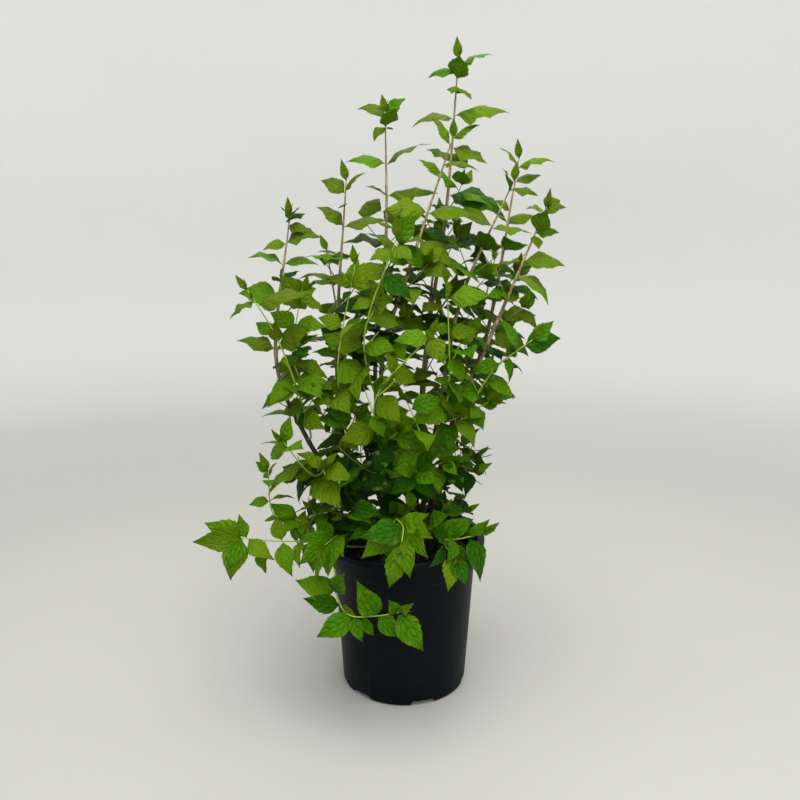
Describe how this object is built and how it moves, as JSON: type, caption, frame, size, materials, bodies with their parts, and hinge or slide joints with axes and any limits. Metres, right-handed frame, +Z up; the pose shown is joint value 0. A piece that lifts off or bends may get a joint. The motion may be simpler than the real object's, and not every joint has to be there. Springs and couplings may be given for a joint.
{
  "type": "potted mock orange shrub",
  "caption": "Young mock orange shrub: slender upright canes with paired pointed leaves, leafy sprays low down, growing from soil in a plain round black nursery pot.",
  "frame": {"origin": "middle of the pot's flat underside, on the floor", "axes": "+Z up along the pot's axis; +X to the right and +Y away from a viewer who faces the long low shoot on the left"},
  "size_m": [0.4591, 0.3775, 0.8716],
  "materials": {
    "pot_plastic": "moulded, faintly textured, satin black",
    "potting_soil": "dark crumbly peat and bark",
    "cane_bark": "thin tan to dark brown bark",
    "young_foliage": "fresh green leaves, soft sheen",
    "grown_foliage": "darker green grown leaves"
  },
  "bodies": {
    "root": {"cane_back": "cane_bark", "cane_back_left": "cane_bark", "cane_back_right": "cane_bark", "cane_left": "cane_bark", "cane_left_mid": "cane_bark", "cane_right": "cane_bark", "cane_right_in": "cane_bark", "cane_right_out": "cane_bark", "cane_straight": "cane_bark", "cane_tall": "cane_bark", "cane_tall_left": "cane_bark", "head_back": "young_foliage", "head_back_left": "young_foliage", "head_back_right": "young_foliage", "head_left": "young_foliage", "head_left_mid": "young_foliage", "head_right": "young_foliage", "head_right_in": "young_foliage", "head_right_out": "young_foliage", "head_straight": "young_foliage", "head_tall": "young_foliage", "head_tall_left": "young_foliage", "pot": "pot_plastic", "shoot_centre_green": "young_foliage", "shoot_centre_low": "young_foliage", "shoot_front": "young_foliage", "shoot_front_long": "young_foliage", "shoot_front_right": "young_foliage", "shoot_hanging": "young_foliage", "shoot_left_arc": "young_foliage", "shoot_left_green": "young_foliage", "shoot_left_inner": "young_foliage", "shoot_left_thin": "young_foliage", "shoot_low_left": "young_foliage", "shoot_mid_green": "young_foliage", "shoot_mid_green_2": "young_foliage", "shoot_right_low": "young_foliage", "soil": "potting_soil", "spray_back_left_low": "grown_foliage", "spray_back_left_middle": "grown_foliage", "spray_back_low": "grown_foliage", "spray_back_middle": "grown_foliage", "spray_back_right_low": "grown_foliage", "spray_back_right_middle": "grown_foliage", "spray_left_low": "grown_foliage", "spray_left_mid_low": "grown_foliage", "spray_left_mid_middle": "grown_foliage", "spray_left_middle": "grown_foliage", "spray_right_in_low": "grown_foliage", "spray_right_in_middle": "grown_foliage", "spray_right_low": "grown_foliage", "spray_right_middle": "grown_foliage", "spray_right_out_low": "grown_foliage", "spray_right_out_middle": "grown_foliage", "spray_straight_low": "grown_foliage", "spray_straight_middle": "grown_foliage", "spray_tall_left_low": "grown_foliage", "spray_tall_left_middle": "grown_foliage", "spray_tall_low": "grown_foliage", "spray_tall_middle": "grown_foliage"}
  },
  "joints": []
}
